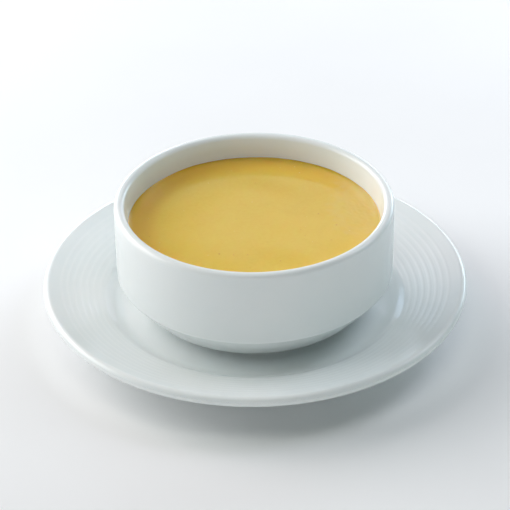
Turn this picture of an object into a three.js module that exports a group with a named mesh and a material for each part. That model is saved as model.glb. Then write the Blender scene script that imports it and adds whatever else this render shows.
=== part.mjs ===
// A bowl of lentil soup on its saucer. The bowl is a straight-sided stacking bowl of thick glazed
// porcelain, filled to a finger's breadth below its lip, and it stands in the well of a saucer
// whose rim carries fine raised rings.
//
// Millimetres, +Z up. The origin is on the table, under the middle of the saucer's foot ring.

import * as THREE from 'three';

// ---- Driving dimensions ----

const SEGMENTS = 60; // facets round each turned form
const ARC_STEP = THREE.MathUtils.degToRad(30); // longest turn between two points of a rounded corner
const LIP_FLAT = 0.2; // width of the flat between the two roundings of a lip
const STANDING_GAP = 0.3; // clearance between the bowl's foot and the saucer's well
const SOUP_GAP = 0.3; // clearance between the soup and the bowl

const SAUCER = {
  radius: 92.4, // to the outside of the lip
  thickness: 4.4,
  rimSlope: THREE.MathUtils.degToRad(19),
  shoulderRadius: 65.6, // where the rim ends and the well begins
  shoulderHeight: 11.15,
  shoulderRounding: 8,
  wellRadius: 60.6, // of the well's floor, before its rounding
  wellHeight: 8.2, // of the well's floor above the table
  wellRounding: 12,
  undersideHeight: 3.8, // of the flat underside above the table
  shoulderDepth: 3.5, // from the shoulder down to where the outside of well and rim meet
  footOuterRadius: 54.2,
  footInnerRadius: 49.8,
  footRounding: 0.9,
  footFillet: 1.2,
};

const RINGS = {
  count: 7,
  firstDistance: 2.6, // up the rim's slope, from the shoulder to the first crest
  pitch: 2.91,
  width: 2.3,
  height: 0.1,
};

const BOWL = {
  radius: 60,
  height: 48.8,
  lipThickness: 4.3,
  flareDraft: THREE.MathUtils.degToRad(10.5), // the inside narrows downwards, faster below the lip
  flareDepth: 5,
  flareRounding: 30,
  wallDraft: THREE.MathUtils.degToRad(4.5),
  stepHeight: 15.8, // the outside turns in here, so that the bowls stack
  stepRounding: 2,
  baseRadius: 49.1, // lower edge of the tapered base
  baseHeight: 3,
  baseRounding: 0.8,
  footOuterRadius: 44.4,
  footInnerRadius: 40.4,
  footRounding: 0.9,
  footFillet: 1.2,
  undersideHeight: 2.4, // of the underside, outside the foot ring
  recessHeight: 2, // inside the foot ring
  floorHeight: 7, // of the inside floor
  floorRounding: 16,
};

const SOUP = {
  level: 38.15, // above the bowl's foot
  meniscusHeight: 0.2, // how far the soup climbs the wall
  meniscusWidth: 1.5,
  meniscusBend: 1 / 3, // of its width and height, where its two straight parts meet
};

// ---- Materials ----

const porcelain = { color: 0xe9eeec, roughness: 0.12, metalness: 0 };
const lentilSoup = { color: 0xdab95f, roughness: 0.22, metalness: 0 };

// ---- Profiles: corners in the half plane of radius and height ----

function corner(radius, height, rounding = 0) {
  return { point: new THREE.Vector2(radius, height), rounding };
}

// The arc that replaces a corner, tangent to the sides that run to its two neighbours.
function roundedCorner(before, { point, rounding }, after) {
  const sides = [before, after].map((other) => other.point.clone().sub(point).normalize());
  const halfAngle = sides[0].angleTo(sides[1]) / 2;
  const centre = sides[0].clone().add(sides[1]).normalize()
    .multiplyScalar(rounding / Math.sin(halfAngle)).add(point);
  const start = sides[0].multiplyScalar(rounding / Math.tan(halfAngle)).add(point).sub(centre);
  const turn = Math.PI - 2 * halfAngle;
  const sense = Math.sign(start.cross(point.clone().sub(centre)));
  const steps = Math.ceil(turn / ARC_STEP);
  return Array.from({ length: steps + 1 }, (_, step) => (
    start.clone().rotateAround(new THREE.Vector2(), sense * turn * step / steps).add(centre)
  ));
}

function roundedProfile(corners) {
  return corners.flatMap((each, index) => (
    each.rounding ? roundedCorner(corners[index - 1], each, corners[index + 1]) : [each.point]
  ));
}

function turnedMesh(name, corners, material) {
  const geometry = new THREE.LatheGeometry(roundedProfile(corners), SEGMENTS);
  geometry.rotateX(Math.PI / 2);
  const mesh = new THREE.Mesh(geometry, new THREE.MeshStandardMaterial(material));
  mesh.name = name;
  return mesh;
}

// ---- Saucer ----

// A corner on the rim: a distance up its slope from the shoulder, and a height off its upper face.
function rimCorner(distance, offset, rounding = 0) {
  const place = new THREE.Vector2(distance, offset).rotateAround(new THREE.Vector2(), SAUCER.rimSlope);
  return corner(SAUCER.shoulderRadius + place.x, SAUCER.shoulderHeight + place.y, rounding);
}

// Distance up the slope at which the round lip just reaches the saucer's radius.
function rimLength() {
  const { radius, thickness, rimSlope, shoulderRadius } = SAUCER;
  const lipRadius = thickness / 2;
  const lipCentre = radius - lipRadius - shoulderRadius;
  return lipRadius + (lipCentre - lipRadius * Math.sin(rimSlope)) / Math.cos(rimSlope);
}

function ringCorners() {
  return Array.from({ length: RINGS.count }, (_, index) => {
    const crest = RINGS.firstDistance + index * RINGS.pitch;
    return [
      rimCorner(crest - RINGS.width / 2, 0),
      rimCorner(crest, RINGS.height),
      rimCorner(crest + RINGS.width / 2, 0),
    ];
  }).flat();
}

// The outside of the well runs parallel to its inside, one thickness away.
function wellOutside(height, rounding) {
  const inside = new THREE.Vector2(SAUCER.shoulderRadius, SAUCER.shoulderHeight)
    .sub(new THREE.Vector2(SAUCER.wellRadius, SAUCER.wellHeight));
  const steepness = inside.angle();
  const rise = height - SAUCER.wellHeight;
  const radius = SAUCER.wellRadius + rise / Math.tan(steepness) + SAUCER.thickness / Math.sin(steepness);
  return corner(radius, height, rounding);
}

function saucer() {
  const { thickness, footRounding, footFillet, undersideHeight } = SAUCER;
  const length = rimLength();
  const lipRounding = (thickness - LIP_FLAT) / 2;
  return turnedMesh('saucer', [
    corner(0, undersideHeight),
    corner(SAUCER.footInnerRadius, undersideHeight, footFillet),
    corner(SAUCER.footInnerRadius, 0, footRounding),
    corner(SAUCER.footOuterRadius, 0, footRounding),
    corner(SAUCER.footOuterRadius, undersideHeight, footFillet),
    wellOutside(undersideHeight, thickness),
    wellOutside(SAUCER.shoulderHeight - SAUCER.shoulderDepth, thickness),
    rimCorner(length, -thickness, lipRounding),
    rimCorner(length, 0, lipRounding),
    ...ringCorners().reverse(),
    corner(SAUCER.shoulderRadius, SAUCER.shoulderHeight, SAUCER.shoulderRounding),
    corner(SAUCER.wellRadius, SAUCER.wellHeight, SAUCER.wellRounding),
    corner(0, SAUCER.wellHeight),
  ], porcelain);
}

// ---- Bowl and soup: heights from the bowl's foot ----

// Radius of the bowl's inside wall, before its floor rounding.
function insideRadius(height) {
  const flareHeight = BOWL.height - BOWL.flareDepth;
  const flare = (BOWL.height - Math.max(height, flareHeight)) * Math.tan(BOWL.flareDraft);
  const wall = Math.max(flareHeight - height, 0) * Math.tan(BOWL.wallDraft);
  return BOWL.radius - BOWL.lipThickness - flare - wall;
}

function bowl() {
  const { footInnerRadius, footOuterRadius, footRounding, footFillet, undersideHeight, recessHeight } = BOWL;
  const lipRounding = (BOWL.lipThickness - LIP_FLAT) / 2;
  const flareHeight = BOWL.height - BOWL.flareDepth;
  return turnedMesh('bowl', [
    corner(0, recessHeight),
    corner(footInnerRadius, recessHeight, footFillet),
    corner(footInnerRadius, 0, footRounding),
    corner(footOuterRadius, 0, footRounding),
    corner(footOuterRadius, undersideHeight, footFillet),
    corner(BOWL.baseRadius, BOWL.baseHeight, BOWL.baseRounding),
    corner(BOWL.radius, BOWL.stepHeight, BOWL.stepRounding),
    corner(BOWL.radius, BOWL.height, lipRounding),
    corner(insideRadius(BOWL.height), BOWL.height, lipRounding),
    corner(insideRadius(flareHeight), flareHeight, BOWL.flareRounding),
    corner(insideRadius(BOWL.floorHeight), BOWL.floorHeight, BOWL.floorRounding),
    corner(0, BOWL.floorHeight),
  ], porcelain);
}

function soup() {
  const { level, meniscusHeight, meniscusWidth, meniscusBend } = SOUP;
  const bottom = BOWL.floorHeight + SOUP_GAP;
  const wallGap = SOUP_GAP / Math.cos(BOWL.wallDraft);
  const brim = level + meniscusHeight;
  const edge = insideRadius(brim) - wallGap;
  return turnedMesh('soup', [
    corner(0, bottom),
    corner(insideRadius(bottom) - wallGap, bottom, BOWL.floorRounding - SOUP_GAP),
    corner(edge, brim),
    corner(edge - meniscusWidth * meniscusBend, level + meniscusHeight * meniscusBend),
    corner(edge - meniscusWidth, level),
    corner(0, level),
  ], lentilSoup);
}

// ---- The whole ----

const filledBowl = new THREE.Group();
filledBowl.position.z = SAUCER.wellHeight + STANDING_GAP;
filledBowl.add(bowl(), soup());

const bowlOfSoup = new THREE.Group();
bowlOfSoup.add(saucer(), filledBowl);

export default bowlOfSoup;
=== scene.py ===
"""A bowl of smooth lentil soup on its saucer: glossy white porcelain and the soup's moist surface.

The three pieces are turned about +Z from the part's own profiles, with true arcs in place of its
facets. Metres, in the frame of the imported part: the origin is on the table, under the saucer.
"""

import math
import random

import bpy
import numpy as np
from mathutils import Matrix, Vector, noise


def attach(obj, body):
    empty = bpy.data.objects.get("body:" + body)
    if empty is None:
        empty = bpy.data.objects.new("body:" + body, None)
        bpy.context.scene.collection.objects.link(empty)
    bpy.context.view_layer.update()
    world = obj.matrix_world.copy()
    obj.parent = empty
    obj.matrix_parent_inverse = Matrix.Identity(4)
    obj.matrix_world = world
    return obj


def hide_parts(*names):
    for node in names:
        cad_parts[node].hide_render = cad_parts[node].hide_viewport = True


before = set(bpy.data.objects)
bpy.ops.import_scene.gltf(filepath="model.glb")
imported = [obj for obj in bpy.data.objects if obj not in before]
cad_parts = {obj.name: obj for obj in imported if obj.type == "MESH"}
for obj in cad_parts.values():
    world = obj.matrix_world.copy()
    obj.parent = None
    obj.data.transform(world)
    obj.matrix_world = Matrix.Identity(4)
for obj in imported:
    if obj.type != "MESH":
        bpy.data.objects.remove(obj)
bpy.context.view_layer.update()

MM = 0.001

# ---- Dimensions, in millimetres, as in the part's source ----

ARC_STEP = math.radians(6)  # longest turn between two points of a rounded corner
SEGMENTS = 288  # round each turned piece
LIP_FLAT = 0.002  # width of the flat between the two roundings of a lip
GUARD = 0.8  # distance from a rounded corner at which its glaze tint has faded
POOL_ROUNDING = 3.0  # a wider rounding than this pools or thins the glaze less

SAUCER_RADIUS = 92.4
SAUCER_THICKNESS = 4.4
RIM_SLOPE = math.radians(19)
SHOULDER_RADIUS, SHOULDER_HEIGHT, SHOULDER_ROUNDING, SHOULDER_DEPTH = 65.6, 11.15, 8.0, 3.5
WELL_RADIUS, WELL_HEIGHT, WELL_ROUNDING = 60.6, 8.2, 12.0
SAUCER_UNDERSIDE = 3.8
SAUCER_FOOT_OUTER, SAUCER_FOOT_INNER = 54.2, 49.8

RING_COUNT, RING_FIRST, RING_PITCH, RING_WIDTH, RING_HEIGHT = 7, 2.6, 2.91, 2.3, 0.042

STANDING_GAP = 0.3
BOWL_FOOT_HEIGHT = WELL_HEIGHT + STANDING_GAP
BOWL_RADIUS, BOWL_HEIGHT = 60.0, 48.8
BOWL_LIP = 4.3
WALL_DRAFT = math.radians(4.5)
FLARE_DRAFT, FLARE_DEPTH, FLARE_ROUNDING = math.radians(10.5), 5.0, 30.0
STEP_HEIGHT, STEP_ROUNDING = 15.8, 2.0
BASE_RADIUS, BASE_HEIGHT, BASE_ROUNDING = 49.1, 3.0, 0.8
BOWL_FOOT_OUTER, BOWL_FOOT_INNER = 44.4, 40.4
BOWL_UNDERSIDE, BOWL_RECESS = 2.4, 2.0
FLOOR_HEIGHT, FLOOR_ROUNDING = 7.0, 16.0
FOOT_ROUNDING, FOOT_FILLET = 0.9, 1.2

SOUP_SEGMENTS = 480
SOUP_LEVEL = 38.0
SOUP_OVERLAP = 0.1  # how far the soup reaches into the wall, so that no gap shows
# The surface's rows lie close together by the wall and wider towards the middle.
CLOSE_ROWS_REACH, CLOSE_SPACING = 4, 0.16
MIDDLE_ROWS_REACH, MIDDLE_SPACING = 14, 0.4
WIDE_SPACING, INNERMOST_ROW = 0.8, 0.5

MENISCUS_HEIGHT, MENISCUS_REACH = 0.5, 0.45
# Its unevenness around the wall: shares of its height, and how quickly they change.
MENISCUS_UNEVENNESS = (0.35, 3.1), (0.2, 11.0)
SWELL_HEIGHT, SWELL_LENGTH = 0.05, 17  # slow unevenness of the surface
GRAIN_HEIGHT, GRAIN_LENGTH = 0.006, 3.1
# The skin is wrinkled in one place by its right side, in an ellipse about a point.
WRINKLES_AT, WRINKLES_REACH, WRINKLES_HEIGHT = (44.0, 4.0), (8.5, 16.0), 0.06
WRINKLES_TURN, WRINKLES_LENGTH, WRINKLES_PITCH = math.radians(-50), 2.0, 1.2
# Where the skin is paler and a painted sheen of the lit right side lies, also an ellipse, with a
# ragged outline.
SKIN_AND_SHEEN_AT, SKIN_AND_SHEEN_REACH = (47.0, 12.0), (16.0, 30.0)
SKIN_RAGGEDNESS, SKIN_RAGGED_LENGTH = 0.5, 3
# How far the painted shade reaches from the wall: narrow where the soup meets it, wide beside it,
# and strongest at the left and behind.
CONTACT_SHADE_REACH, EDGE_SHADE_REACH = 0.8, 15
EDGE_SHADE, EDGE_SHADE_AT_LEFT, EDGE_SHADE_BEHIND = 0.6, 0.4, 0.25

# Flecks that lie in the soup: x, y, radius and height. More are strewn over it.
DARK_FLECKS = [
    (-14.8, -25.9, 0.50, 0.16), (-8.9, -26.8, 0.36, 0.12), (-3.0, -26.9, 0.34, 0.12),
    (10.7, -31.9, 0.38, 0.12), (27.8, 5.2, 0.45, 0.14), (32.6, -16.0, 0.34, 0.12),
    (35.2, -4.0, 0.50, 0.14),
]
PALE_GRAINS = [
    (40.5, -9.0, 0.42, 0.16), (20.5, 40.5, 0.45, 0.16), (18.4, 45.9, 0.40, 0.16),
    (-40.2, -16.6, 0.36, 0.14),
]
STREWN_REACH, STREWN_HEIGHT = 47, 0.06
DARK_SEED, PALE_SEED = 5, 8
FLECK_SIDES, FLECK_ROWS = 10, 3
FLECK_RAGGEDNESS, FLECK_WIDTH, FLECK_TAPER = 0.45, 0.8, 0.75  # shares of its radius


# ---- Profiles in the half plane of radius and height ----

def rounded_profile(corners):
    """Points, outward normals and glaze tags of a profile with corners (radius, height, rounding).

    The profile runs from the axis below to the axis above. A tag is 1 where glaze pools in a
    concave corner, -1 where it draws thin over a convex one, and 0 on the flat.
    """
    points, normals, tags = [], [], []

    def add(point, normal, tag):
        points.append(point)
        normals.append(normal)
        tags.append(tag)

    ends = []  # where each corner's arc starts and stops
    for index, (radius, height, *rounding) in enumerate(corners):
        here = Vector((radius, height))
        if not rounding or index in (0, len(corners) - 1):
            ends.append((here, here, None))
            continue
        to_before = (Vector(corners[index - 1][:2]) - here).normalized()
        to_after = (Vector(corners[index + 1][:2]) - here).normalized()
        half_angle = to_before.angle(to_after) / 2
        centre = here + (to_before + to_after).normalized() * rounding[0] / math.sin(half_angle)
        reach = rounding[0] / math.tan(half_angle)
        arc = (centre, rounding[0], half_angle)
        ends.append((here + to_before * reach, here + to_after * reach, arc))
    for index, (start, stop, arc) in enumerate(ends):
        if arc:
            centre, radius, half_angle = arc
            turn = math.pi - 2 * half_angle
            first, last = start - centre, stop - centre
            convex = first.x * last.y - first.y * last.x > 0
            sense = 1 if convex else -1
            steps = max(2, math.ceil(turn / ARC_STEP))
            pooling = min(1, POOL_ROUNDING / radius)
            for step in range(steps + 1):
                angle = sense * turn * step / steps
                spoke = Matrix.Rotation(angle, 2) @ first
                swell = pooling * math.sin(math.pi * step / steps)
                add(centre + spoke, spoke.normalized() * sense, -sense * swell)
        else:
            is_last = index == len(ends) - 1
            beside = stop - ends[index - 1][1] if is_last else ends[index + 1][0] - start
            along = beside.normalized()
            add(start, Vector((along.y, -along.x)), 0)
        if index < len(ends) - 1:
            run = ends[index + 1][0] - stop
            along = run.normalized()
            if run.length > 3 * GUARD:
                for distance in (GUARD, run.length - GUARD):
                    add(stop + along * distance, Vector((along.y, -along.x)), 0)
    return points, normals, tags


def unit_circle(segments):
    angles = np.arange(segments) * 2 * math.pi / segments
    return np.stack([np.cos(angles), np.sin(angles)], 1)


def placed(name, data):
    """A new object in the scene, around a mesh, light or camera."""
    piece = bpy.data.objects.new(name, data)
    bpy.context.scene.collection.objects.link(piece)
    return piece


def turned_piece(name, points, normals, tags):
    """A closed mesh turned about +Z, with exact normals and the glaze tags stored on its points."""
    circle = unit_circle(SEGMENTS)
    vertices, vertex_normals, pool, faces = [], [], [], []
    starts = []
    for point, normal, tag in zip(points, normals, tags):
        starts.append(len(vertices))
        if point.x < 1e-6:
            vertices.append((0, 0, point.y))
            vertex_normals.append((0, 0, math.copysign(1, normal.y)))
            pool.append(tag)
            continue
        for c, s in circle:
            vertices.append((point.x * c, point.x * s, point.y))
            vertex_normals.append((normal.x * c, normal.x * s, normal.y))
            pool.append(tag)
    for a, b, low, high in zip(starts, starts[1:], points, points[1:]):
        for i in range(SEGMENTS):
            j = (i + 1) % SEGMENTS
            if low.x < 1e-6:
                faces.append((a, b + j, b + i))
            elif high.x < 1e-6:
                faces.append((a + i, a + j, b))
            else:
                faces.append((a + i, a + j, b + j, b + i))
    mesh = bpy.data.meshes.new(name)
    mesh.from_pydata([tuple(x * MM for x in v) for v in vertices], [], faces)
    mesh.shade_smooth()
    mesh.attributes.new("glaze_pool", "FLOAT", "POINT").data.foreach_set("value", pool)
    mesh.validate()
    mesh.normals_split_custom_set_from_vertices(vertex_normals)
    return placed(name, mesh)


# ---- Saucer ----

def on_rim(distance, offset):
    """A point a distance up the rim's slope from the shoulder, and a height off its upper face."""
    along_slope = Matrix.Rotation(RIM_SLOPE, 2) @ Vector((distance, offset))
    return Vector((SHOULDER_RADIUS, SHOULDER_HEIGHT)) + along_slope


def rim_length():
    lip_radius = SAUCER_THICKNESS / 2
    lip_centre = SAUCER_RADIUS - lip_radius - SHOULDER_RADIUS
    return lip_radius + (lip_centre - lip_radius * math.sin(RIM_SLOPE)) / math.cos(RIM_SLOPE)


def outside_of_well(height):
    steepness = math.atan2(SHOULDER_HEIGHT - WELL_HEIGHT, SHOULDER_RADIUS - WELL_RADIUS)
    rise = height - WELL_HEIGHT
    return WELL_RADIUS + rise / math.tan(steepness) + SAUCER_THICKNESS / math.sin(steepness)


def saucer_profile():
    length = rim_length()
    lip = SAUCER_THICKNESS / 2 - LIP_FLAT / 2
    shoulder_under = SHOULDER_HEIGHT - SHOULDER_DEPTH
    points, normals, tags = rounded_profile([
        (0, SAUCER_UNDERSIDE),
        (SAUCER_FOOT_INNER, SAUCER_UNDERSIDE, FOOT_FILLET),
        (SAUCER_FOOT_INNER, 0, FOOT_ROUNDING),
        (SAUCER_FOOT_OUTER, 0, FOOT_ROUNDING),
        (SAUCER_FOOT_OUTER, SAUCER_UNDERSIDE, FOOT_FILLET),
        (outside_of_well(SAUCER_UNDERSIDE), SAUCER_UNDERSIDE, SAUCER_THICKNESS),
        (outside_of_well(shoulder_under), shoulder_under, SAUCER_THICKNESS),
        (*on_rim(length, -SAUCER_THICKNESS), lip),
        (*on_rim(length, 0), lip),
        (SHOULDER_RADIUS, SHOULDER_HEIGHT, SHOULDER_ROUNDING),
        (WELL_RADIUS, WELL_HEIGHT, WELL_ROUNDING),
        (0, WELL_HEIGHT),
    ])
    return with_rings(points, normals, tags)


def with_rings(points, normals, tags):
    """The profile with the rings' smooth crests laid along the straight upper face of the rim."""
    up = Matrix.Rotation(RIM_SLOPE, 2) @ Vector((0, 1))
    along = Matrix.Rotation(RIM_SLOPE, 2) @ Vector((1, 0))
    half_steps = 6  # from the foot of a crest to its top
    crests = []
    for ring in reversed(range(RING_COUNT)):
        for step in range(-half_steps, half_steps + 1):
            place = -step / half_steps  # across the crest, from its outer edge to its inner edge
            height = RING_HEIGHT * (0.5 + 0.5 * math.cos(math.pi * place))
            slope = -RING_HEIGHT * math.pi * math.sin(math.pi * place) / RING_WIDTH
            distance = RING_FIRST + ring * RING_PITCH + place * RING_WIDTH / 2
            normal = (up - along * slope).normalized()
            crests.append((on_rim(distance, height), normal, -height / RING_HEIGHT))
    outer, inner = crests[0][0].x, crests[-1][0].x

    def under_rings(point, normal):
        faces_up = normal.y > 0.9
        return inner < point.x < outer and point.y > SHOULDER_HEIGHT and faces_up

    rows = [row for row in zip(points, normals, tags) if not under_rings(*row[:2])]
    at = next(
        i for i in range(1, len(rows)) if rows[i][0].x <= inner and rows[i - 1][0].x >= outer
    )
    rows[at:at] = crests
    return [list(column) for column in zip(*rows)]


# ---- Bowl, with heights from its foot ----

def inside_radius(height):
    """Of the bowl's inside wall, which flares below the lip and then runs down more steeply."""
    flare = min(BOWL_HEIGHT - height, FLARE_DEPTH) * math.tan(FLARE_DRAFT)
    wall = max(0, BOWL_HEIGHT - FLARE_DEPTH - height) * math.tan(WALL_DRAFT)
    return BOWL_RADIUS - BOWL_LIP - flare - wall


def bowl_profile():
    lip = BOWL_LIP / 2 - LIP_FLAT / 2
    flare_foot = BOWL_HEIGHT - FLARE_DEPTH
    points, normals, tags = rounded_profile([
        (0, BOWL_RECESS),
        (BOWL_FOOT_INNER, BOWL_RECESS, FOOT_FILLET),
        (BOWL_FOOT_INNER, 0, FOOT_ROUNDING),
        (BOWL_FOOT_OUTER, 0, FOOT_ROUNDING),
        (BOWL_FOOT_OUTER, BOWL_UNDERSIDE, FOOT_FILLET),
        (BASE_RADIUS, BASE_HEIGHT, BASE_ROUNDING),
        (BOWL_RADIUS, STEP_HEIGHT, STEP_ROUNDING),
        (BOWL_RADIUS, BOWL_HEIGHT, lip),
        (inside_radius(BOWL_HEIGHT), BOWL_HEIGHT, lip),
        (inside_radius(flare_foot), flare_foot, FLARE_ROUNDING),
        (inside_radius(FLOOR_HEIGHT), FLOOR_HEIGHT, FLOOR_ROUNDING),
        (0, FLOOR_HEIGHT),
    ])
    return [point + Vector((0, BOWL_FOOT_HEIGHT)) for point in points], normals, tags


# ---- Soup ----

def soup_rows():
    """The radius of the surface's edge, and the distances of its rows from there."""
    edge = inside_radius(SOUP_LEVEL + MENISCUS_HEIGHT) + SOUP_OVERLAP
    distances = np.concatenate([
        np.arange(0, CLOSE_ROWS_REACH, CLOSE_SPACING),
        np.arange(CLOSE_ROWS_REACH, MIDDLE_ROWS_REACH, MIDDLE_SPACING),
        np.arange(MIDDLE_ROWS_REACH, edge - INNERMOST_ROW, WIDE_SPACING),
    ])
    return edge, distances


def soup_mesh(name):
    """The soup, a closed mesh that stores on its points the shares of its three tints: painted
    shade where it meets the wall, painted shade beside the wall, and a paler skin with painted
    sheen.
    """
    edge, distances = soup_rows()
    circle = unit_circle(SOUP_SEGMENTS)
    floor = FLOOR_HEIGHT - SOUP_OVERLAP
    body = rounded_profile([
        (0, floor),
        (inside_radius(floor) + SOUP_OVERLAP, floor, FLOOR_ROUNDING),
        (edge, SOUP_LEVEL + MENISCUS_HEIGHT),
    ])[0]
    rings = [(p.x, p.y, False) for p in body[1:-1]]
    rings += [(edge - d, SOUP_LEVEL, True) for d in distances]
    vertices, faces = [(0, 0, (floor + BOWL_FOOT_HEIGHT) * MM)], []
    tints = {"contact_shade": [0], "wall_shade": [0], "skin_and_sheen": [0]}
    for radius, height, on_top in rings:
        for c, s in circle:
            x, y, z = radius * c, radius * s, height
            if on_top:
                z += surface_height(x, y, edge - radius)
            vertices.append((x * MM, y * MM, (z + BOWL_FOOT_HEIGHT) * MM))
            # Painted shade by the wall, and the paler skin with its painted sheen.
            tints["contact_shade"].append(math.exp(-abs(edge - radius) / CONTACT_SHADE_REACH))
            tints["wall_shade"].append(painted_wall_shade(x, y, edge - radius))
            tints["skin_and_sheen"].append(paler_skin_and_sheen(x, y) if on_top else 0)
    middle_height = SOUP_LEVEL + surface_height(0, 0, edge) + BOWL_FOOT_HEIGHT
    vertices.append((0, 0, middle_height * MM))
    for shares in tints.values():
        shares.append(0)
    for row in range(len(rings) - 1):
        a, b = 1 + row * SOUP_SEGMENTS, 1 + (row + 1) * SOUP_SEGMENTS
        for i in range(SOUP_SEGMENTS):
            j = (i + 1) % SOUP_SEGMENTS
            faces.append((a + i, a + j, b + j, b + i))
    last = len(vertices) - 1
    for i in range(SOUP_SEGMENTS):
        j = (i + 1) % SOUP_SEGMENTS
        faces.append((0, 1 + j, 1 + i))
        faces.append((last - SOUP_SEGMENTS + i, last - SOUP_SEGMENTS + j, last))
    mesh = bpy.data.meshes.new(name)
    mesh.from_pydata(vertices, [], faces)
    mesh.shade_smooth()
    for tint, shares in tints.items():
        mesh.attributes.new(tint, "FLOAT", "POINT").data.foreach_set("value", shares)
    mesh.validate()
    return placed(name, mesh)


def surface_height(x, y, from_wall):
    """Height of the surface above its level: meniscus, slow swell, fine grain and wrinkles."""
    bearing = math.atan2(y, x)
    around = Vector((math.cos(bearing), math.sin(bearing), 0))
    unevenness = 1
    for share, quickness in MENISCUS_UNEVENNESS:
        unevenness += share * noise.noise(around * quickness)
    climb = math.exp(-max(0, from_wall - SOUP_OVERLAP) / MENISCUS_REACH)
    swell = SWELL_HEIGHT * noise.noise(Vector((x, y, 0)) / SWELL_LENGTH)
    grain = GRAIN_HEIGHT * noise.noise(Vector((x, y, 5)) / GRAIN_LENGTH)
    return MENISCUS_HEIGHT * unevenness * climb + swell + grain + wrinkles(x, y)


def wrinkles(x, y):
    """Height of the wrinkles in the skin: short creases side by side, fading out to all sides."""
    across, along = x - WRINKLES_AT[0], y - WRINKLES_AT[1]
    fade = max(0, 1 - (across / WRINKLES_REACH[0]) ** 2 - (along / WRINKLES_REACH[1]) ** 2)
    if not fade:
        return 0
    lengthwise = across * math.cos(WRINKLES_TURN) + along * math.sin(WRINKLES_TURN)
    sideways = along * math.cos(WRINKLES_TURN) - across * math.sin(WRINKLES_TURN)
    place = Vector((lengthwise / WRINKLES_LENGTH, sideways / WRINKLES_PITCH, 2))
    return WRINKLES_HEIGHT * min(1, 2 * fade) * noise.noise(place)


def painted_wall_shade(x, y, from_wall):
    """How much painted shade and warm bounce light deepen the soup's colour beside the wall, mostly
    at the left and behind.
    """
    radius = math.hypot(x, y)
    by_side = EDGE_SHADE - EDGE_SHADE_AT_LEFT * x / radius + EDGE_SHADE_BEHIND * y / radius
    return max(0, 1 - from_wall / EDGE_SHADE_REACH) * by_side


def paler_skin_and_sheen(x, y):
    """How much of the paler, drying skin and the painted sheen on the lit right side covers a
    point.
    """
    across, along = (x - SKIN_AND_SHEEN_AT[0]) / SKIN_AND_SHEEN_REACH[0], (y - SKIN_AND_SHEEN_AT[1]) / SKIN_AND_SHEEN_REACH[1]
    ragged = SKIN_RAGGEDNESS * noise.noise(Vector((x, y, 3)) / SKIN_RAGGED_LENGTH)
    return max(0, min(1, 1 - across ** 2 - along ** 2 + ragged))


# ---- Flecks in the soup ----

def flecks_mesh(name, flecks):
    """Tiny flakes that lie half sunk in the soup, each a low dome with a ragged outline."""
    edge = inside_radius(SOUP_LEVEL) + SOUP_OVERLAP
    vertices, faces = [], []
    for number, (x, y, radius, height) in enumerate(flecks):
        first = len(vertices)
        level = BOWL_FOOT_HEIGHT + SOUP_LEVEL + surface_height(x, y, edge - math.hypot(x, y))
        for row in range(FLECK_ROWS + 1):
            share = row / FLECK_ROWS
            rise = math.pi / 2 * share - math.pi / 4
            bulge = math.cos(rise) / math.cos(math.pi / 4) * (1 - FLECK_TAPER * share)
            for side in range(FLECK_SIDES):
                angle = 2 * math.pi * side / FLECK_SIDES
                c, s = math.cos(angle), math.sin(angle)
                ragged = 1 + FLECK_RAGGEDNESS * noise.noise(Vector((c, s, number * 3.7)) * 1.6)
                reach = radius * ragged * bulge
                z = level + height * (share - 0.5)
                vertices.append(((x + reach * c) * MM, (y + FLECK_WIDTH * reach * s) * MM, z * MM))
        for row in range(FLECK_ROWS):
            a, b = first + row * FLECK_SIDES, first + (row + 1) * FLECK_SIDES
            for i in range(FLECK_SIDES):
                j = (i + 1) % FLECK_SIDES
                faces.append((a + i, a + j, b + j, b + i))
        top = first + FLECK_ROWS * FLECK_SIDES
        faces.append(tuple(first + i for i in reversed(range(FLECK_SIDES))))
        faces.append(tuple(top + i for i in range(FLECK_SIDES)))
    mesh = bpy.data.meshes.new(name)
    mesh.from_pydata(vertices, [], faces)
    mesh.shade_smooth()
    mesh.validate()
    return placed(name, mesh)


def strewn(count, seed, smallest, largest):
    """Flecks strewn over the soup, away from its edge."""
    chance = random.Random(seed)
    flecks = []
    for _ in range(count):
        reach, bearing = STREWN_REACH * math.sqrt(chance.random()), 2 * math.pi * chance.random()
        x, y = reach * math.cos(bearing), reach * math.sin(bearing)
        flecks.append((x, y, chance.uniform(smallest, largest), STREWN_HEIGHT))
    return flecks


# ---- Materials ----

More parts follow.
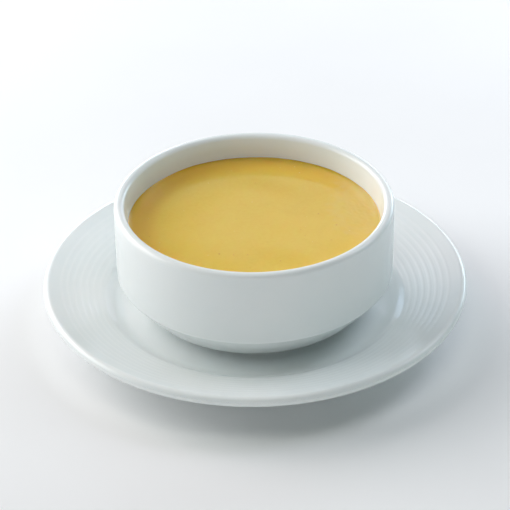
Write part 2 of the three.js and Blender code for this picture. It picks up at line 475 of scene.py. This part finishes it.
class Material:
    """A node material around one Principled shader."""

    def __init__(self, name, **uniform):
        self.material = bpy.data.materials.new(name)
        self.material.use_nodes = True
        self.nodes = self.material.node_tree.nodes
        self.links = self.material.node_tree.links
        self.shader = self.nodes["Principled BSDF"]
        for socket, value in uniform.items():
            self.shader.inputs[socket].default_value = value
        self.place = self.add("ShaderNodeTexCoord").outputs["Object"]

    def add(self, kind, **settings):
        node = self.nodes.new(kind)
        for key, value in settings.items():
            setattr(node, key, value)
        return node

    def join(self, value, socket):
        if isinstance(value, bpy.types.NodeSocket):
            self.links.new(value, socket)
        else:
            socket.default_value = value

    def noise(self, scale, detail=2.0, roughness=0.5, distortion=0.0):
        """A noise pattern through the object, finer for a larger scale."""
        node = self.add("ShaderNodeTexNoise")
        self.links.new(self.place, node.inputs["Vector"])
        keys = ("Scale", "Detail", "Roughness", "Distortion")
        for key, value in zip(keys, (scale, detail, roughness, distortion)):
            node.inputs[key].default_value = value
        return node.outputs["Fac"]

    def range(self, value, low, high, to_low, to_high):
        node = self.add("ShaderNodeMapRange")
        keys = ("Value", "From Min", "From Max", "To Min", "To Max")
        for key, x in zip(keys, (value, low, high, to_low, to_high)):
            self.join(x, node.inputs[key])
        return node.outputs["Result"]

    def math(self, operation, a, b):
        node = self.add("ShaderNodeMath", operation=operation)
        self.join(a, node.inputs[0])
        self.join(b, node.inputs[1])
        return node.outputs[0]

    def mix(self, share, a, b):
        """From colour a to colour b, each an (r, g, b) or an output."""
        node = self.add("ShaderNodeMix", data_type="RGBA")
        self.join(share, node.inputs["Factor"])
        for value, key in ((a, "A"), (b, "B")):
            socket = next(s for s in node.inputs if s.name == key and s.type == "RGBA")
            self.join((*value, 1.0) if isinstance(value, tuple) else value, socket)
        return next(s for s in node.outputs if s.type == "RGBA")

    def mottled(self, pattern, colours, spread=0.2):
        """From the first colour to the second, as a pattern goes through its middle values."""
        return self.mix(self.range(pattern, 0.5 - spread, 0.5 + spread, 0, 1), *colours)

    def attribute(self, name):
        return self.add("ShaderNodeAttribute", attribute_name=name).outputs["Fac"]

    def height(self):
        split = self.add("ShaderNodeSeparateXYZ")
        self.links.new(self.place, split.inputs[0])
        return split.outputs["Z"]

    def bump(self, *layers):
        """Bump layers as (height, distance in metres), laid one over the other."""
        normal = None
        for height, distance in layers:
            node = self.add("ShaderNodeBump")
            node.inputs["Distance"].default_value = distance
            self.join(height, node.inputs["Height"])
            if normal:
                self.links.new(normal, node.inputs["Normal"])
            normal = node.outputs["Normal"]
        self.links.new(normal, self.shader.inputs["Normal"])


# Linear colours. Each pair is mottled from its first to its second.
GLAZE = (0.800, 0.840, 0.835), (0.825, 0.855, 0.848)
POOLED_GLAZE, THIN_GLAZE = (0.72, 0.79, 0.775), (0.87, 0.89, 0.88)
BISCUIT = (0.55, 0.53, 0.49), (0.70, 0.685, 0.65)
SOUP_BODY = (0.735, 0.480, 0.040), (0.770, 0.520, 0.052)
SOUP_GRAIN = (0.79, 0.56, 0.07)
# Painted shade and warm bounce light on the soup beside the wall, and a deeper painted shade where
# it meets the wall.
SOUP_PAINTED_WALL_SHADE, SOUP_SHADE_AT_CONTACT = (0.93, 0.46, 0.020), (0.96, 0.40, 0.020)
# A paler skin, with a painted sheen of the lit right side in it.
SOUP_SKIN_AND_SHEEN = (0.76, 0.60, 0.24)
LENTIL_SKIN = (0.52, 0.22, 0.02), (0.68, 0.33, 0.04)
LENTIL_GRAIN = (0.78, 0.58, 0.16), (0.84, 0.66, 0.26)
FLOOR = (0.90, 0.90, 0.90), (0.92, 0.92, 0.92)

# In metres, as the shaders take them.
BARE_BELOW, BARE_BLEND, BARE_RAGGEDNESS = 0.00035, 0.0002, 0.00012
GLAZE_RIPPLE, BISCUIT_GRIT = 0.000012, 0.00008


def porcelain(name, foot_height):
    """White glaze: thinner and whiter over edges, pooled and greener in corners.

    The ring that the piece stands on is bare, rough and warmer.
    """
    m = Material(name, **{"IOR": 1.52, "Subsurface Weight": 0.12, "Subsurface Scale": 0.002})
    m.shader.inputs["Subsurface Radius"].default_value = (1.0, 0.9, 0.8)
    glaze = m.mottled(m.noise(38, 3), GLAZE, spread=0.15)
    pool = m.attribute("glaze_pool")
    glaze = m.mix(m.range(pool, 0, 1, 0, 0.5), glaze, POOLED_GLAZE)
    glaze = m.mix(m.range(pool, -1, 0, 0.35, 0), glaze, THIN_GLAZE)
    raggedness = m.range(m.noise(900, 3), 0, 1, -BARE_RAGGEDNESS, BARE_RAGGEDNESS)
    ragged_height = m.math("ADD", m.height(), raggedness)
    bare_top = foot_height + BARE_BELOW
    bare = m.range(ragged_height, bare_top, bare_top + BARE_BLEND, 1, 0)
    grain = m.noise(5200, 4, 0.7)
    m.join(m.mix(bare, glaze, m.mottled(grain, BISCUIT)), m.shader.inputs["Base Color"])
    polish = m.range(m.noise(160, 3, 0.6), 0.3, 0.7, 0.20, 0.26)
    roughness = m.math("MAXIMUM", polish, m.math("MULTIPLY", bare, 0.72))
    m.join(roughness, m.shader.inputs["Roughness"])
    grit = m.math("MULTIPLY", grain, bare)
    m.bump((m.noise(330, 1.5), GLAZE_RIPPLE), (grit, BISCUIT_GRIT))
    return m.material


def lentil_soup():
    """Blended lentils: an opaque, moist yellow with a fine grain and faint streaks, painted shade
    by the wall and a paler skin with painted sheen at the right.
    """
    m = Material("lentil_soup", **{
        "IOR": 1.36, "Specular IOR Level": 0.25,
        "Subsurface Weight": 0.7, "Subsurface Scale": 0.007,
        "Coat Weight": 1.0, "Coat Roughness": 0.035, "Coat IOR": 1.45,
    })
    m.shader.inputs["Subsurface Radius"].default_value = (1.0, 0.45, 0.12)
    fine = m.noise(620, 3, 0.6)
    body = m.mottled(m.noise(55, 4, 0.55, distortion=0.8), SOUP_BODY)
    body = m.mix(m.range(fine, 0.3, 0.7, 0, 0.5), body, SOUP_GRAIN)
    # Painted shade: deeper orange beside the wall, most at the left and behind.
    body = m.mix(m.attribute("wall_shade"), body, SOUP_PAINTED_WALL_SHADE)
    # Partly a paler, drying skin and partly painted sheen on the lit right side.
    body = m.mix(m.range(m.attribute("skin_and_sheen"), 0, 1, 0, 0.3), body, SOUP_SKIN_AND_SHEEN)
    # Painted shade: a narrow, deeper orange line where the soup meets the wall.
    body = m.mix(m.attribute("contact_shade"), body, SOUP_SHADE_AT_CONTACT)
    m.join(body, m.shader.inputs["Base Color"])
    m.join(m.range(fine, 0.3, 0.7, 0.28, 0.34), m.shader.inputs["Roughness"])
    return m.material


def fleck(name, colours, roughness):
    """A flake of lentil skin or a grain of lentil, mottled and wet."""
    m = Material(name, **{
        "IOR": 1.4, "Roughness": roughness, "Subsurface Weight": 0.3, "Subsurface Scale": 0.001,
    })
    body = m.mottled(m.noise(2400, 2), colours, spread=0.15)
    m.join(body, m.shader.inputs["Base Color"])
    return m.material


# ---- The object ----

saucer = turned_piece("saucer_glazed", *saucer_profile())
bowl = turned_piece("bowl_glazed", *bowl_profile())
soup = soup_mesh("soup_surface")
dark_flecks = flecks_mesh("soup_dark_flecks", DARK_FLECKS + strewn(14, DARK_SEED, 0.18, 0.32))
pale_grains = flecks_mesh("soup_pale_grains", PALE_GRAINS + strewn(18, PALE_SEED, 0.16, 0.28))

saucer.data.materials.append(porcelain("saucer_porcelain", 0.0))
bowl.data.materials.append(porcelain("bowl_porcelain", BOWL_FOOT_HEIGHT * MM))
soup.data.materials.append(lentil_soup())
dark_flecks.data.materials.append(fleck("lentil_skin", LENTIL_SKIN, 0.5))
pale_grains.data.materials.append(fleck("lentil_grain", LENTIL_GRAIN, 0.35))

for piece, node, slot in (
    (saucer, "saucer", "saucer_porcelain"),
    (bowl, "bowl", "bowl_porcelain"),
    (soup, "soup", "lentil_soup"),
):
    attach(piece, "root")
    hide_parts(node)
for piece in (dark_flecks, pale_grains):
    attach(piece, "root")


# ---- Floor, light and camera ----

def pale_floor():
    reach = 6.0
    corners = [(-reach, -reach, 0), (reach, -reach, 0), (reach, reach, 0), (-reach, reach, 0)]
    mesh = bpy.data.meshes.new("floor")
    mesh.from_pydata(corners, [], [(0, 1, 2, 3)])
    floor = placed("floor", mesh)
    m = Material("floor", **{"Roughness": 0.6, "Specular IOR Level": 0.1})
    m.join(m.mottled(m.noise(9, 2), FLOOR), m.shader.inputs["Base Color"])
    mesh.materials.append(m.material)


TARGET = Vector((0, 0, 0.04))  # what the lights point at

# name, bearing from -Y towards +X, elevation, distance, width, height, watts of red, green and blue
LIGHTS = (
    ("key", -105, 27, 1.2, 1.0, 0.8, (11.7, 12.0, 12.0)),
    ("behind", -162, 6, 1.1, 0.35, 0.3, (1.4, 1.8, 2.3)),
    ("right_behind", 158, 12, 1.1, 0.4, 0.35, (1.4, 1.4, 1.6)),
    ("right_low", 140, 12, 1.1, 0.4, 0.35, (2.0, 2.5, 2.8)),
    ("right_above", 118, 45, 1.1, 0.5, 0.45, (2.3, 2.4, 2.7)),
)
# bearing, elevation, sharpness, red, green, blue. The last four are what the soup mirrors.
GLOWS = (
    (-140, 30, 24, 4.11, 3.33, 3.27),
    (-154, 30, 46, 0.80, 1.20, 1.40),
    (170, 8, 24, 0.62, 0.71, 0.69),
    (166, 30, 56, 0.85, 0.85, 0.85),
    (0, 0, 12, 2.92, 3.04, 3.09),
    (0, 86, 24, 2.12, 2.23, 2.12),
    (90, 5, 12, 0.21, 0.54, 0.51),
    (180.8, 31.7, 2500, 0.65, 0.65, 0.65),
    (178.1, 31.7, 2500, 0.50, 0.50, 0.50),
    (175.4, 31.7, 2500, 0.55, 0.55, 0.55),
    (172.7, 31.7, 2500, 0.50, 0.50, 0.50),
)


def soft_light(name, bearing, elevation, distance, width, height, watts):
    data = bpy.data.lights.new(name, "AREA")
    data.shape = "RECTANGLE"
    data.size, data.size_y = width, height
    data.energy = max(watts)
    data.color = [w / max(watts) for w in watts]
    light = placed(name, data)
    away = direction(bearing, elevation)
    light.location = TARGET + away * distance
    light.rotation_mode = "QUATERNION"
    light.rotation_quaternion = away.to_track_quat("Z", "Y")


def direction(bearing, elevation):
    """Unit vector at a bearing from -Y towards +X and an elevation, both in degrees."""
    a, e = math.radians(bearing), math.radians(elevation)
    return Vector((math.sin(a) * math.cos(e), -math.cos(a) * math.cos(e), math.sin(e)))


def studio_world(glows):
    """A white studio around the object, made of glows that fade from their middles."""
    world = bpy.data.worlds.new("studio")
    world.use_nodes = True
    nodes, links = world.node_tree.nodes, world.node_tree.links

    def node(kind, operation, *inputs):
        """A node with its inputs, each a socket's key and a value or an output."""
        made = nodes.new(kind)
        made.operation = operation
        for key, value in inputs:
            if isinstance(value, bpy.types.NodeSocket):
                links.new(value, made.inputs[key])
            else:
                made.inputs[key].default_value = value
        return made

    outward = nodes.new("ShaderNodeTexCoord").outputs["Generated"]
    total = None
    for bearing, elevation, sharpness, *colour in glows:
        towards = direction(bearing, elevation)
        facing = node("ShaderNodeVectorMath", "DOT_PRODUCT", (0, outward), (1, towards))
        ahead = node("ShaderNodeMath", "MAXIMUM", (0, facing.outputs["Value"]), (1, 0.0))
        lobe = node("ShaderNodeMath", "POWER", (0, ahead.outputs[0]), (1, sharpness))
        glow = node("ShaderNodeVectorMath", "SCALE", (0, colour), ("Scale", lobe.outputs[0]))
        if total:
            sum_inputs = (0, total.outputs[0]), (1, glow.outputs[0])
            total = node("ShaderNodeVectorMath", "ADD", *sum_inputs)
        else:
            total = glow
    links.new(total.outputs[0], nodes["Background"].inputs["Color"])
    bpy.context.scene.world = world


# The photograph's camera, from a fit of its outlines. Angles are in degrees, its place in mm.
CAMERA_PLACE = Vector((0, -732.2, 498.1))
CAMERA_PITCH, CAMERA_ROLL, CAMERA_YAW = 32.641, -0.761, 0.008
FOCAL_PIXELS, PHOTO_PIXELS = 2000, 510
SENSOR_WIDTH = 36.0


def camera():
    pitch, roll, yaw = (math.radians(a) for a in (CAMERA_PITCH, CAMERA_ROLL, CAMERA_YAW))
    ahead = Vector((math.sin(yaw), math.cos(yaw), 0))
    forward = ahead * math.cos(pitch) - Vector((0, 0, math.sin(pitch)))
    right = Vector((math.cos(yaw), -math.sin(yaw), 0))
    up = right.cross(forward)
    rolled_right = math.cos(roll) * right + math.sin(roll) * up
    rolled_up = -math.sin(roll) * right + math.cos(roll) * up
    data = bpy.data.cameras.new("camera")
    data.sensor_width = SENSOR_WIDTH
    data.lens = FOCAL_PIXELS / PHOTO_PIXELS * SENSOR_WIDTH
    data.clip_start, data.clip_end = 0.05, 50
    cam = placed("camera", data)
    turn = Matrix((rolled_right, rolled_up, -forward)).transposed()
    cam.matrix_world = Matrix.Translation(CAMERA_PLACE * MM) @ turn.to_4x4()
    bpy.context.scene.camera = cam


pale_floor()
studio_world(GLOWS)
for light in LIGHTS:
    soft_light(*light)
camera()
bpy.context.scene.view_settings.view_transform = "Standard"
